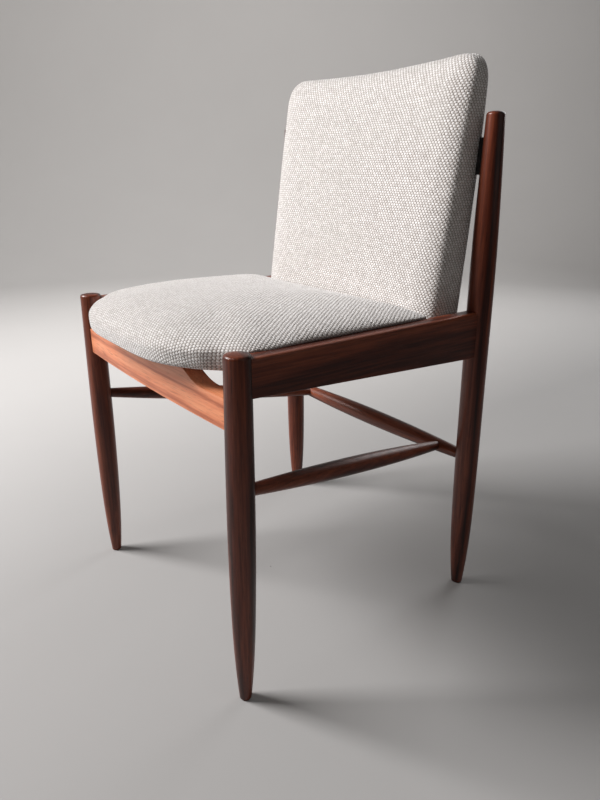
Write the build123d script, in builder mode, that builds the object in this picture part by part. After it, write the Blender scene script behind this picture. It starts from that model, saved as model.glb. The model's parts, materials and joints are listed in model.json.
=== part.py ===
from build123d import *
import os
from math import sqrt

# A dining chair: a turned and dowelled hardwood frame, a padded seat dropped in between the
# side rails, and a curved padded back hung between the rear posts on a flat steel bar.
#
# Millimetres, +Z up, the front of the chair towards -Y.  The origin is on the floor, midway
# across the chair and midway between its front and rear extremes.  Left and right are the
# sitter's own, so the left side is at +X.

os.makedirs("parts", exist_ok=True)

# --- Driving dimensions ------------------------------------------------------------------

# Turned legs: foot and top of each axis, and radii as (height along the axis, radius).
front_foot = (215.0, -189.6, 0.0)
front_top = (215.6, -184.6, 462.4)
front_radii = ((-3.0, 7.3), (50.0, 11.7), (150.0, 15.5), (250.0, 16.7), (460.2, 15.6))
rear_foot = (220.0, 223.9, 0.0)
rear_top = (218.0, 210.4, 713.9)
rear_radii = ((-3.0, 8.0), (50.0, 12.9), (150.0, 16.5), (350.0, 17.2), (550.0, 16.8),
              (650.0, 14.1), (712.0, 11.7))
foot_round = 2.0
top_round = 4.0

# Joinery.
glue_line = 0.1              # every coped shoulder stands this far off the turned surface
dowel_radius = 5.0
dowel_length = 36.0
dowel_hole_length = 38.0

# Rails.
rail_thickness = 22.0
side_rail_inner = 206.0
side_rail_top = 456.0
side_rail_bottom_front = 412.0
side_rail_bottom_rear = 390.0
rail_edge_round = 4.5
rail_arris_round = 1.5
front_rail_face = -194.8     # its front face where it meets the legs
front_rail_bow = 5.5         # how far that face bows forward at the middle
front_rail_bottom = 372.0
front_rail_end_top = 409.5   # low at the legs
front_rail_top = 432.0       # and higher under the seat
front_rail_low_from = 160.0  # the low ends begin here
front_rail_high_to = 80.0    # and the raised middle here
rear_rail_thickness = 20.0
rear_rail_bottom = 404.0
rear_rail_top = 444.0
rear_rail_gap = 10.5         # between the back and the rail, filled by the spacers

# Stretchers: turned, fat in the middle.
rear_stretcher_height = 228.1
rear_stretcher_end_radius = 7.4
rear_stretcher_radius = 14.2
side_stretcher_front_height = 298.0
side_stretcher_rear_x = 162.9
side_stretcher_end_radius = 6.8
side_stretcher_radius = 12.4
post_tenon_radius = 6.0
side_tenon_radius = 4.5
tenon_past_axis = 3.0

# Seat.
cover_thickness = 1.5
seat_underside = front_rail_top
seat_board_thickness = 12.0
seat_well_half_width = 204.5     # between the side rails
seat_half_width = 211.0          # where the padding swells over them
seat_front = -236.8
seat_rear_middle = 137.5
seat_rear_bow = 12.0             # how far the rear edge bows rearwards at the middle
seat_side_front = -164.0         # where the straight sides end, behind the legs
seat_corner_y = -186.0           # where the cut behind each leg ends
seat_corner_cut = 20.0           # and how far in it goes
seat_shoulder_x = 156.0          # a point on the bowed front
seat_shoulder_y = -212.0
seat_crown = 489.0
seat_shoulder = 470.0            # the height of the padding just inside its edge
seat_split_height = 457.3        # just above the side rails
seat_undercut = 9.0              # the front rolls under by this much
board_half_width = 201.0
board_setback = 14.0
opening_width = 330.0        # the cover is turned under the board, up to this opening
opening_depth = 250.0
opening_corner = 20.0
opening_middle_y = -35.0
seat_lining_thickness = 0.8
cleat_width = 14.0
cleat_height = 16.0
cleat_front = -150.0
cleat_rear = 105.0

# Back.  Every layer is curved about one upright axis in front of the chair.
back_axis_y = -1422.0
back_bottom = 418.0
back_top = 785.0
back_levels = (400.0, 560.0, 700.0, 800.0)
back_front = (134.5, 156.7, 176.1, 190.0)   # front surface at the middle, at those levels
back_rear = (205.0, 219.5, 229.6, 231.5)    # rear surface likewise
back_half_width = 201.0
back_top_corner = 52.0
back_bottom_corner = 24.0
back_front_roll = 24.0
back_rear_roll = 10.0
shell_thickness = 9.0
shell_behind = 10.5          # from the rear surface to the rear of the plywood
shell_setback = 6.0
rear_panel_setback = 9.0
bar_bottom = 637.0
bar_top = 683.0
bar_thickness = 5.0
bar_half_length = 217.0
bar_slit = 0.4
spacer_radius = 12.0
spacer_x = 110.0
spacer_height = 434.0

# Screws.
wood_screw_radius = 2.0
wood_screw_head_radius = 4.0
machine_screw_radius = 2.5
machine_screw_head_radius = 4.75
machine_screw_head_height = 3.0
screw_short_of_face = 6.0


# --- Helpers -----------------------------------------------------------------------------

def point_on_axis(foot, top, height):
    """The point at a given height on the line from foot to top."""
    share = (height - foot[2]) / (top[2] - foot[2])
    return Vector(*foot) + (Vector(*top) - Vector(*foot)) * share


def spun(start, end, radii, allowance=0.0, rounding=0.0):
    """A turned solid: the radii, given as (distance from start, radius), spun about its axis.

    Where the radii stop short of the end, the rest of the length is a low crown, part of a ball
    centred on the axis."""
    start, end = Vector(*start), Vector(*end)
    along = (end - start).normalized()
    across = Plane(origin=start, z_dir=along).x_dir
    profile_plane = Plane(origin=start, x_dir=across, z_dir=across.cross(along))
    length = (end - start).length
    crown = length - radii[-1][0]
    outline = [(radius + allowance, distance) for distance, radius in radii]
    with BuildPart() as member:
        with BuildSketch(profile_plane) as profile:
            with BuildLine():
                Spline(*outline)
                if crown > 0:
                    ball = (outline[-1][0] ** 2 + crown ** 2) / (2 * crown)
                    half = outline[-1][0] / 2
                    ThreePointArc(outline[-1], (half, length - ball + sqrt(ball ** 2 - half ** 2)),
                                  (0, length))
                else:
                    Line(outline[-1], (0, length))
                Polyline((0, length), (0, outline[0][1]), outline[0])
            make_face()
            if rounding > 0:
                fillet(profile.vertices().sort_by_distance(outline[-1])[0], rounding)
        revolve(axis=Axis(start, along))
    return member.part


def turned_leg(foot, top, radii):
    """A leg or post: spun, cut level at the floor, its foot and its top edge eased."""
    with BuildPart() as leg:
        add(spun(foot, top, radii, rounding=top_round))
        split(bisect_by=Plane.XY, keep=Keep.TOP)
        fillet(leg.faces().sort_by(Axis.Z)[0].edges(), foot_round)
    return leg.part


def facing(origin, direction):
    """A plane that faces a direction.  Its x axis, where a round solid has its seam, is slanted
    so that no seam runs along another piece's edge."""
    square = Plane(origin=origin, z_dir=direction)
    return Plane(origin=origin, x_dir=square.x_dir + 0.8 * square.y_dir, z_dir=square.z_dir)


def rod(start, end, radius):
    """A plain round rod between two points."""
    start, end = Vector(*start), Vector(*end)
    with BuildPart() as body:
        with BuildSketch(facing(start, end - start)):
            Circle(radius)
        extrude(amount=(end - start).length)
    return body.part


def rods_at(planes, radius, length):
    """Round rods centred on planes, lying along each plane's normal."""
    with BuildPart() as group:
        with Locations(*planes):
            Cylinder(radius, length)
    return group.part


def countersunk_screw(length, allowance=0.0):
    """A wood screw pointing down -Z, its flat head flush with Z = 0."""
    head_depth = wood_screw_head_radius - wood_screw_radius
    with BuildPart() as screw:
        with Locations((0, 0, -length / 2)):
            Cylinder(wood_screw_radius + allowance, length)
        with Locations((0, 0, -head_depth / 2)):
            Cone(wood_screw_radius + allowance, wood_screw_head_radius + allowance, head_depth)
    return screw.part


def machine_screw(length, allowance=0.0):
    """A machine screw pointing down -Z, its round head standing on Z = 0."""
    with BuildPart() as screw:
        with Locations((0, 0, -length / 2)):
            Cylinder(machine_screw_radius + allowance, length)
        with Locations((0, 0, machine_screw_head_height / 2)):
            Cylinder(machine_screw_head_radius + allowance, machine_screw_head_height)
    return screw.part


def set_at(planes, solid):
    """Copies of a solid, one standing on each plane."""
    with BuildPart() as group:
        with Locations(*planes):
            add(solid)
    return group.part


def both_sides(solid):
    """The solid and its mirror image across the chair."""
    with BuildPart() as pair:
        add(solid)
        mirror(solid, about=Plane.YZ)
    return pair.part


# --- Legs, posts and stretchers, before their joints are cut ------------------------------

front_leg_blank = turned_leg(front_foot, front_top, front_radii)
rear_post_blank = turned_leg(rear_foot, rear_top, rear_radii)
front_cope = spun(front_foot, front_top, front_radii, glue_line)
rear_cope = spun(rear_foot, rear_top, rear_radii, glue_line)

side_stretcher_front = point_on_axis(front_foot, front_top, side_stretcher_front_height)
rear_stretcher_end = point_on_axis(rear_foot, rear_top, rear_stretcher_height)
rear_stretcher_start = Vector(-rear_stretcher_end.X, rear_stretcher_end.Y, rear_stretcher_end.Z)
side_stretcher_rear = Vector(side_stretcher_rear_x, rear_stretcher_end.Y, rear_stretcher_height)


def spindle(start, end, end_radius, middle_radius, allowance=0.0):
    """A stretcher's turned shape, evenly tapered to both ends."""
    length = (end - start).length
    radii = ((0.0, end_radius), (length / 2, middle_radius), (length, end_radius))
    return spun(start, end, radii, allowance)


stretcher_along = (side_stretcher_rear - side_stretcher_front).normalized()
side_tenon_front = (side_stretcher_front - stretcher_along * tenon_past_axis,
                    side_stretcher_front + stretcher_along * 30)
side_tenon_rear = (side_stretcher_rear - stretcher_along * 22,
                   side_stretcher_rear + stretcher_along * tenon_past_axis)
post_tenon = (Vector(rear_stretcher_end.X - 30, rear_stretcher_end.Y, rear_stretcher_height),
              Vector(rear_stretcher_end.X + tenon_past_axis, rear_stretcher_end.Y,
                     rear_stretcher_height))

with BuildPart() as rear_stretcher:
    add(spindle(rear_stretcher_start, rear_stretcher_end, rear_stretcher_end_radius,
                rear_stretcher_radius))
    add(both_sides(rear_cope), mode=Mode.SUBTRACT)
    add(both_sides(rod(*post_tenon, post_tenon_radius)))
    add(both_sides(rod(*side_tenon_rear, side_tenon_radius + glue_line)), mode=Mode.SUBTRACT)

with BuildPart() as side_stretcher_left:
    add(spindle(side_stretcher_front, side_stretcher_rear, side_stretcher_end_radius,
                side_stretcher_radius))
    add(front_cope, mode=Mode.SUBTRACT)
    add(spindle(rear_stretcher_start, rear_stretcher_end, rear_stretcher_end_radius,
                rear_stretcher_radius, glue_line), mode=Mode.SUBTRACT)
    add(rod(*side_tenon_front, post_tenon_radius))
    add(rod(*side_tenon_rear, side_tenon_radius))

# --- Rails, before their dowel holes ------------------------------------------------------

leg_at_side_rail = point_on_axis(front_foot, front_top, side_rail_top)
post_at_side_rail = point_on_axis(rear_foot, rear_top, side_rail_top)
rail_front_y, rail_rear_y = leg_at_side_rail.Y, post_at_side_rail.Y
with BuildPart() as side_rail_blank:
    with BuildSketch(Plane.YZ.offset(side_rail_inner)):
        with BuildLine():
            Polyline((rail_front_y, side_rail_top), (rail_front_y, side_rail_bottom_front),
                     (rail_rear_y, side_rail_bottom_rear), (rail_rear_y, side_rail_top), close=True)
        make_face()
    extrude(amount=rail_thickness)
    lengthways = side_rail_blank.edges().filter_by(
        lambda edge: abs(edge.tangent_at(0.5).Y) > 0.9)
    upper_outer = lengthways.sort_by(lambda edge: edge.center().X + edge.center().Z)[-1]
    fillet(upper_outer, rail_edge_round)
    sharp = side_rail_blank.edges().filter_by(
        lambda edge: abs(edge.tangent_at(0.5).Y) > 0.9
        and (edge.center().X < side_rail_inner + 1 or edge.center().Z < side_rail_bottom_front))
    fillet(sharp, rail_arris_round)
    add(front_cope, mode=Mode.SUBTRACT)
    add(rear_cope, mode=Mode.SUBTRACT)

front_rail_reach = front_foot[0]
rise_middle = (front_rail_low_from + front_rail_high_to) / 2
rise_height = (front_rail_end_top + front_rail_top) / 2
with BuildPart() as front_rail_blank:
    with BuildSketch(Plane.XY.offset(front_rail_bottom)):
        with BuildLine():
            face = ThreePointArc((-front_rail_reach, front_rail_face),
                                 (0, front_rail_face - front_rail_bow),
                                 (front_rail_reach, front_rail_face))
            inside = ThreePointArc((front_rail_reach, front_rail_face + rail_thickness),
                                   (0, front_rail_face - front_rail_bow + rail_thickness),
                                   (-front_rail_reach, front_rail_face + rail_thickness))
            Line(face @ 1, inside @ 0)
            Line(inside @ 1, face @ 0)
        make_face()
    extrude(amount=front_rail_top - front_rail_bottom)
    with BuildSketch(Plane.XZ.offset(-front_rail_face - rail_thickness * 2)):
        with BuildLine():
            Line((front_rail_reach, front_rail_bottom), (front_rail_reach, front_rail_end_top))
            Line((front_rail_reach, front_rail_end_top), (front_rail_low_from, front_rail_end_top))
            Spline((front_rail_low_from, front_rail_end_top), (rise_middle, rise_height),
                   (front_rail_high_to, front_rail_top), tangents=((-1, 0), (-1, 0)))
            Line((front_rail_high_to, front_rail_top), (0, front_rail_top))
            mirror(about=Plane.YZ)
            Line((-front_rail_reach, front_rail_bottom), (front_rail_reach, front_rail_bottom))
        make_face()
    extrude(amount=-rail_thickness * 4, both=True, mode=Mode.INTERSECT)

# The rear rail is sawn to the same curve as the back that it carries.


def arc_band(middle_front, middle_rear, half_width):
    """A plan face between two arcs about the back's axis, with ends square across the chair."""
    def on_arc(middle, x):
        return back_axis_y + sqrt((middle - back_axis_y) ** 2 - x ** 2)
    with BuildLine() as outline:
        front = ThreePointArc((-half_width, on_arc(middle_front, half_width)), (0, middle_front),
                              (half_width, on_arc(middle_front, half_width)))
        rear = ThreePointArc((half_width, on_arc(middle_rear, half_width)), (0, middle_rear),
                             (-half_width, on_arc(middle_rear, half_width)))
        Line(front @ 1, rear @ 0)
        Line(rear @ 1, front @ 0)
    return outline


def back_surface(levels_y, height):
    """The middle of a back surface at a height, from its values at the levels."""
    pairs = list(zip(back_levels, levels_y))
    for (low, low_y), (high, high_y) in zip(pairs, pairs[1:]):
        if height <= high:
            return low_y + (high_y - low_y) * (height - low) / (high - low)
    return levels_y[-1]


rear_rail_face = back_surface(back_rear, rear_rail_bottom) + rear_rail_gap
with BuildPart() as rear_rail_blank:
    with BuildSketch(Plane.XY.offset(rear_rail_bottom)):
        add(arc_band(rear_rail_face, rear_rail_face + rear_rail_thickness, rear_foot[0]).line)
        make_face()
    extrude(amount=rear_rail_top - rear_rail_bottom)
    add(both_sides(rear_cope), mode=Mode.SUBTRACT)
    add(both_sides(side_rail_blank.part), mode=Mode.SUBTRACT)

# --- Dowels --------------------------------------------------------------------------------

leg_face_x = front_foot[0] - front_radii[-1][1]
front_rail_middle_y = front_rail_face + rail_thickness / 2
side_rail_middle_x = side_rail_inner + rail_thickness / 2
leg_rear_y = leg_at_side_rail.Y + front_radii[-1][1]
post_front_y = post_at_side_rail.Y - rear_radii[3][1]
post_face_x = rear_foot[0] - rear_radii[3][1]
rear_rail_end_y = back_axis_y + sqrt((rear_rail_face + rear_rail_thickness / 2 - back_axis_y) ** 2
                                     - post_face_x ** 2)

front_rail_dowel_places = [Plane(origin=(leg_face_x, front_rail_middle_y, z), z_dir=(1, 0, 0))
                           for z in (381.5, 400.5)]
side_rail_front_places = [Plane(origin=(side_rail_middle_x - 1, leg_rear_y, z), z_dir=(0, 1, 0))
                          for z in (423.0, 445.0)]
side_rail_rear_places = [Plane(origin=(side_rail_middle_x + 2, post_front_y, z), z_dir=(0, 1, 0))
                         for z in (402.0, 424.0, 446.0)]
rear_rail_dowel_places = [Plane(origin=(post_face_x, rear_rail_end_y, z), z_dir=(1, 0, 0))
                          for z in (413.0, 435.0)]


def dowels(places):
    """The dowels on both sides of the chair."""
    return both_sides(rods_at(places, dowel_radius, dowel_length))


def dowel_holes(places):
    """What is bored away for them."""
    return both_sides(rods_at(places, dowel_radius + glue_line, dowel_hole_length))


with BuildPart() as front_rail_dowels:
    add(dowels(front_rail_dowel_places))
with BuildPart() as side_rail_dowels:
    add(dowels(side_rail_front_places + side_rail_rear_places))
with BuildPart() as rear_rail_dowels:
    add(dowels(rear_rail_dowel_places))

with BuildPart() as front_rail:
    add(front_rail_blank.part)
    add(both_sides(front_cope), mode=Mode.SUBTRACT)
    add(dowel_holes(front_rail_dowel_places), mode=Mode.SUBTRACT)

# --- Back: curved layers --------------------------------------------------------------------


def back_layer(front_levels, rear_levels, half_width):
    """A curved, leaning slab whose middle runs through the given surfaces at the levels."""
    with BuildPart() as slab:
        for level, front, rear in zip(back_levels, front_levels, rear_levels):
            with BuildSketch(Plane.XY.offset(level)):
                add(arc_band(front, rear, half_width).line)
                make_face()
        loft()
    return slab.part


def back_outline(inset, depth=400):
    """A block with the back's front outline: rounded at the top corners, less so below."""
    bottom, top = back_bottom + inset, back_top - inset
    with BuildPart() as block:
        with BuildSketch(Plane.XZ) as face:
            with Locations((0, (bottom + top) / 2)):
                Rectangle(2 * (back_half_width - inset), top - bottom)
            fillet(face.vertices().group_by(Axis.Y)[-1], back_top_corner - inset)
            fillet(face.vertices().group_by(Axis.Y)[0], back_bottom_corner - inset)
        extrude(amount=depth, both=True)
    return block.part


def shifted(levels_y, distance):
    """Surface values moved rearwards by a distance."""
    return tuple(y + distance for y in levels_y)


def padded_back(inset):
    """The padded back, or what is left of it inside a cover of that thickness."""
    with BuildPart() as pad:
        add(back_layer(shifted(back_front, inset), shifted(back_rear, -inset),
                       back_half_width + 5))
        add(back_outline(inset), mode=Mode.INTERSECT)
        fillet(pad.faces().sort_by(Axis.Y)[-1].edges(), back_rear_roll - inset)
        fillet(pad.faces().sort_by(Axis.Y)[0].edges(), back_front_roll - inset)
    return pad.part


def behind(levels_y):
    """Everything of the back that lies behind a surface."""
    return back_layer(levels_y, shifted(back_rear, 20.0), back_half_width + 5)


def band(low, high, half_length):
    """A block that spans the back between two heights."""
    with BuildPart() as block:
        with Locations((0, 0, (low + high) / 2)):
            Box(2 * half_length, 800, high - low)
    return block.part


shell_rear = shifted(back_rear, -shell_behind)
shell_front = shifted(shell_rear, -shell_thickness)
outer_back = padded_back(0.0)
inner_back = padded_back(cover_thickness)

# Screws through the back: where they stand, and which way they point.
lean = 5.0                   # degrees by which the back's rear surface leans at the bar
bar_middle = (bar_bottom + bar_top) / 2
bar_rear_middle = back_surface(back_rear, bar_middle) - shell_behind + bar_thickness


def facing_rear(x, middle_y, height, tilt=0.0):
    """A plane on a curved back layer, facing away from the curve's axis."""
    reach = middle_y - back_axis_y
    y = back_axis_y + sqrt(reach ** 2 - x ** 2)
    outward = Vector(x, y - back_axis_y, 0).normalized()
    return facing((x, y, height), outward - Vector(0, 0, tilt / 57.3))


shell_screw_places = [facing_rear(x, bar_rear_middle, bar_middle, lean)
                      for x in (-140.0, -60.0, 60.0, 140.0)]
shell_screw_length = bar_thickness + shell_thickness - 1.0
lower_screw_places = [facing_rear(x, rear_rail_face + rear_rail_thickness, spacer_height)
                      for x in (-spacer_x, spacer_x)]
lower_screw_length = (rear_rail_thickness + rear_rail_gap + shell_behind + shell_thickness
                      - screw_short_of_face)
post_at_bar = point_on_axis(rear_foot, rear_top, bar_middle)
post_screw_x = post_at_bar.X
post_screw_places = [Plane(origin=(x, post_at_bar.Y + 12.2, bar_middle), z_dir=(0, 1, 0))
                     for x in (-post_screw_x, post_screw_x)]
post_screw_length = 20.0

bar_sweep = back_layer(shell_rear, shifted(shell_rear, bar_thickness), bar_half_length)
with BuildPart() as back_mounting_bar:
    add(bar_sweep)
    add(band(bar_bottom, bar_top, bar_half_length), mode=Mode.INTERSECT)
    add(set_at(shell_screw_places, machine_screw(shell_screw_length, glue_line)),
        mode=Mode.SUBTRACT)
    add(set_at(post_screw_places, countersunk_screw(post_screw_length, glue_line)),
        mode=Mode.SUBTRACT)
with BuildPart() as bar_channel:
    add(back_layer(shifted(shell_rear, -0.01), shifted(shell_rear, bar_thickness + bar_slit),
                   bar_half_length + 3))
    add(band(bar_bottom - bar_slit, bar_top + bar_slit, bar_half_length + 1), mode=Mode.INTERSECT)

with BuildPart() as back_shell:
    add(back_layer(shell_front, shell_rear, back_half_width + 5))
    add(back_outline(shell_setback), mode=Mode.INTERSECT)
    add(set_at(shell_screw_places, machine_screw(shell_screw_length, glue_line)),
        mode=Mode.SUBTRACT)
    add(set_at(lower_screw_places, countersunk_screw(lower_screw_length, glue_line)),
        mode=Mode.SUBTRACT)

with BuildPart() as back_foam:
    add(inner_back)
    add(behind(shell_rear), mode=Mode.SUBTRACT)
    add(back_layer(shell_front, shifted(shell_rear, 5.0), back_half_width + 5)
        & back_outline(shell_setback), mode=Mode.SUBTRACT)

with BuildPart() as back_rear_pad:
    add(inner_back)
    add(behind(shell_rear), mode=Mode.INTERSECT)
    add(bar_channel.part, mode=Mode.SUBTRACT)
    with Locations(*shell_screw_places):
        Cylinder(machine_screw_head_radius + 1, 2 * machine_screw_head_height + 1,
                 mode=Mode.SUBTRACT)
    with Locations(*lower_screw_places):
        Cylinder(wood_screw_radius + 1, 2 * lower_screw_length, mode=Mode.SUBTRACT)

with BuildPart() as rear_panel_zone:
    add(behind(shifted(back_rear, -2 * cover_thickness)))
    add(back_outline(rear_panel_setback), mode=Mode.INTERSECT)

with BuildPart() as back_cover:
    add(outer_back)
    add(inner_back, mode=Mode.SUBTRACT)
    add(rear_panel_zone.part, mode=Mode.SUBTRACT)
    add(bar_channel.part, mode=Mode.SUBTRACT)

with BuildPart() as back_rear_panel:
    add(outer_back)
    add(inner_back, mode=Mode.SUBTRACT)
    add(rear_panel_zone.part, mode=Mode.INTERSECT)
    with Locations(*lower_screw_places):
        Cylinder(wood_screw_radius + 1, 2 * lower_screw_length, mode=Mode.SUBTRACT)

with BuildPart() as lower_spacers:
    with Locations(*lower_screw_places):
        Cylinder(spacer_radius, 90)
        Cylinder(wood_screw_radius + glue_line, 90, mode=Mode.SUBTRACT)
    add(back_layer(shifted(back_rear, glue_line), shifted(back_rear, 60), back_half_width),
        mode=Mode.INTERSECT)
    add(both_sides(rear_rail_blank.part), mode=Mode.SUBTRACT)
    split(bisect_by=Plane.XZ.offset(-rear_rail_face - 3), keep=Keep.TOP)

with BuildPart() as shell_screws:
    add(set_at(shell_screw_places, machine_screw(shell_screw_length)))
with BuildPart() as lower_back_screws:
    add(set_at(lower_screw_places, countersunk_screw(lower_screw_length)))
with BuildPart() as bar_screws:
    add(set_at(post_screw_places, countersunk_screw(post_screw_length)))

with BuildPart() as rear_rail:
    add(rear_rail_blank.part)
    add(dowel_holes(rear_rail_dowel_places), mode=Mode.SUBTRACT)
    add(set_at(lower_screw_places, countersunk_screw(lower_screw_length, glue_line)),
        mode=Mode.SUBTRACT)

# --- Seat: cleats, board, foam, cover and lining -------------------------------------------


def seat_outline(half_width, inset):
    """The seat seen from above: square behind, cut back round the legs, bowed in front."""
    front = seat_front + inset
    side = half_width - inset
    rear_corner_y = seat_rear_middle - inset - seat_rear_bow
    leg_corner = (side - seat_corner_cut, seat_corner_y + inset)
    shoulder = (seat_shoulder_x - inset, seat_shoulder_y + inset)
    with BuildLine() as outline:
        rear = ThreePointArc((side, rear_corner_y), (0, seat_rear_middle - inset),
                             (-side, rear_corner_y))
        Line((side, rear_corner_y), (side, seat_side_front))
        Line((side, seat_side_front), leg_corner)
        Spline(leg_corner, shoulder, (0, front), tangents=((-1, -1), (-1, 0)))
        Spline((0, front), (-shoulder[0], shoulder[1]), (-leg_corner[0], leg_corner[1]),
               tangents=((-1, 0), (-1, 1)))
        Line((-leg_corner[0], leg_corner[1]), (-side, seat_side_front))
        Line((-side, seat_side_front), rear @ 1)
    return outline


def seat_block(half_width, inset, low, high):
    """The seat's outline carried up from one height to another."""
    with BuildPart() as block:
        with BuildSketch(Plane.XY.offset(low)):
            add(seat_outline(half_width, inset).line)
            make_face()
        extrude(amount=high - low)
    return block.part


def seat_pad(inset):
    """The whole padded seat, or what is left of it inside a cover of that thickness."""
    crown = seat_crown - inset
    edge = seat_split_height + 1.0 - inset
    shoulder = seat_shoulder - inset
    with BuildPart() as upper:
        add(seat_block(seat_half_width, inset, seat_split_height + inset, seat_crown + 5))
        with BuildSketch(Plane.YZ):
            with BuildLine():
                top = Spline((seat_front - 1, edge), (-218.0, shoulder), (-165.0, crown - 5),
                             (-60.0, crown), (50.0, crown - 9), (seat_rear_middle + 1, edge + 3))
                Polyline(top @ 1, (seat_rear_middle + 1, 400), (seat_front - 1, 400), top @ 0)
            make_face()
        extrude(amount=300, both=True, mode=Mode.INTERSECT)
        with BuildSketch(Plane.XZ):
            with BuildLine():
                side = seat_half_width + 1
                top = Spline((side, edge), (side - 14, shoulder), (side - 55, crown - 7),
                             (0, crown), (55 - side, crown - 7), (14 - side, shoulder),
                             (-side, edge))
                Polyline(top @ 1, (-side, 400), (side, 400), top @ 0)
            make_face()
        extrude(amount=400, both=True, mode=Mode.INTERSECT)
    with BuildPart() as pad:
        add(upper.part)
        add(seat_block(seat_well_half_width, inset, seat_underside + inset,
                       seat_split_height + inset)
            & seat_block(seat_half_width + seat_undercut, seat_undercut + inset, seat_underside,
                         seat_crown))
    return pad.part


board_low = seat_underside + cover_thickness
board_high = board_low + seat_board_thickness
seat_inside = seat_pad(cover_thickness)
cleat_screw_places = [Plane(origin=(side_rail_inner - cleat_width, y, seat_underside - 8),
                            z_dir=(-1, 0, 0)) for y in (-120.0, -22.0, 76.0)]
cleat_screw_length = 30.0
seat_screw_places = [Plane(origin=(side_rail_inner - 8.0, y, seat_underside - cleat_height),
                           z_dir=(0, 0, -1)) for y in (-95.0, 55.0)]
seat_screw_length = 26.0

with BuildPart() as seat_cleat_left:
    with Locations((side_rail_inner - cleat_width / 2, (cleat_front + cleat_rear) / 2,
                    seat_underside - cleat_height / 2)):
        Box(cleat_width, cleat_rear - cleat_front, cleat_height)
    add(set_at(cleat_screw_places, countersunk_screw(cleat_screw_length, glue_line)),
        mode=Mode.SUBTRACT)
    add(set_at(seat_screw_places, countersunk_screw(seat_screw_length, glue_line)),
        mode=Mode.SUBTRACT)

with BuildPart() as seat_board:
    add(seat_block(board_half_width + board_setback, board_setback, board_low, board_high))
    add(both_sides(set_at(seat_screw_places, countersunk_screw(seat_screw_length, glue_line))),
        mode=Mode.SUBTRACT)

with BuildPart() as seat_foam:
    add(seat_inside)
    with Locations((0, 0, board_low / 2)):
        Box(600, 600, board_low, mode=Mode.SUBTRACT)
    add(seat_block(board_half_width + board_setback, board_setback, board_low - 1, board_high),
        mode=Mode.SUBTRACT)


def lining_block(inset, low, high):
    """The opening under the seat where the cover stops, or the lining that closes it."""
    with BuildPart() as block:
        with BuildSketch(Plane.XY.offset(low)):
            with Locations((0, opening_middle_y)):
                RectangleRounded(opening_width - 2 * inset, opening_depth - 2 * inset,
                                 opening_corner - inset)
        extrude(amount=high - low)
    return block.part


with BuildPart() as seat_cover:
    add(seat_pad(0.0))
    add(seat_inside, mode=Mode.SUBTRACT)
    add(lining_block(0, seat_underside - 1, board_low + 1), mode=Mode.SUBTRACT)
    add(both_sides(set_at(seat_screw_places, countersunk_screw(seat_screw_length, glue_line))),
        mode=Mode.SUBTRACT)

with BuildPart() as seat_lining:
    add(lining_block(glue_line, board_low - seat_lining_thickness, board_low))

with BuildPart() as cleat_screws:
    add(both_sides(set_at(cleat_screw_places, countersunk_screw(cleat_screw_length))))
with BuildPart() as seat_screws:
    add(both_sides(set_at(seat_screw_places, countersunk_screw(seat_screw_length))))

# --- Legs, posts and side rails, with their joints cut --------------------------------------

with BuildPart() as side_rail_left:
    add(side_rail_blank.part)
    add(rods_at(side_rail_front_places + side_rail_rear_places, dowel_radius + glue_line,
                dowel_hole_length), mode=Mode.SUBTRACT)
    add(set_at(cleat_screw_places, countersunk_screw(cleat_screw_length, glue_line)),
        mode=Mode.SUBTRACT)

with BuildPart() as front_leg_left:
    add(front_leg_blank)
    add(rods_at(front_rail_dowel_places + side_rail_front_places, dowel_radius + glue_line,
                dowel_hole_length), mode=Mode.SUBTRACT)
    add(rod(*side_tenon_front, post_tenon_radius + glue_line), mode=Mode.SUBTRACT)

with BuildPart() as rear_post_left:
    add(rear_post_blank)
    add(rods_at(rear_rail_dowel_places + side_rail_rear_places, dowel_radius + glue_line,
                dowel_hole_length), mode=Mode.SUBTRACT)
    add(rod(*post_tenon, post_tenon_radius + glue_line), mode=Mode.SUBTRACT)
    add(bar_channel.part, mode=Mode.SUBTRACT)
    add(set_at(post_screw_places[1:], countersunk_screw(post_screw_length, glue_line)),
        mode=Mode.SUBTRACT)

# --- Every piece, named and written ----------------------------------------------------------

pieces = {
    "front_rail": front_rail,
    "rear_rail": rear_rail,
    "rear_stretcher": rear_stretcher,
    "front_rail_dowels": front_rail_dowels,
    "side_rail_dowels": side_rail_dowels,
    "rear_rail_dowels": rear_rail_dowels,
    "seat_board": seat_board,
    "seat_foam": seat_foam,
    "seat_cover": seat_cover,
    "seat_lining": seat_lining,
    "cleat_screws": cleat_screws,
    "seat_screws": seat_screws,
    "back_shell": back_shell,
    "back_foam": back_foam,
    "back_rear_pad": back_rear_pad,
    "back_cover": back_cover,
    "back_rear_panel": back_rear_panel,
    "back_mounting_bar": back_mounting_bar,
    "shell_screws": shell_screws,
    "bar_screws": bar_screws,
    "lower_spacers": lower_spacers,
    "lower_back_screws": lower_back_screws,
}
left_pieces = {
    "front_leg": front_leg_left,
    "rear_post": rear_post_left,
    "side_rail": side_rail_left,
    "side_stretcher": side_stretcher_left,
    "seat_cleat": seat_cleat_left,
}
for name, left in left_pieces.items():
    with BuildPart() as right:
        mirror(left.part, about=Plane.YZ)
    pieces[name + "_left"] = left
    pieces[name + "_right"] = right

for name, piece in pieces.items():
    piece.part.label = name
    export_step(piece.part, "parts/" + name + ".step")
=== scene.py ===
# %% [markdown]
# # A padded dining chair
#
# The chair is a turned teak frame with a padded seat dropped between its side rails and a
# curved padded back hung between its rear posts.  The wooden members come ready made from the
# CAD model, so this lesson gives them their finish.  The two cushions are soft, so they are
# built here as surfaces, filled out with a short cloth simulation, and covered in a woven cloth
# whose threads follow the surface.
#
# Lengths are worked out in millimetres, which is how a chair maker measures, and are turned
# into Blender's metres when a mesh is made.

# %% Load the frame
import json
import math

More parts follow.
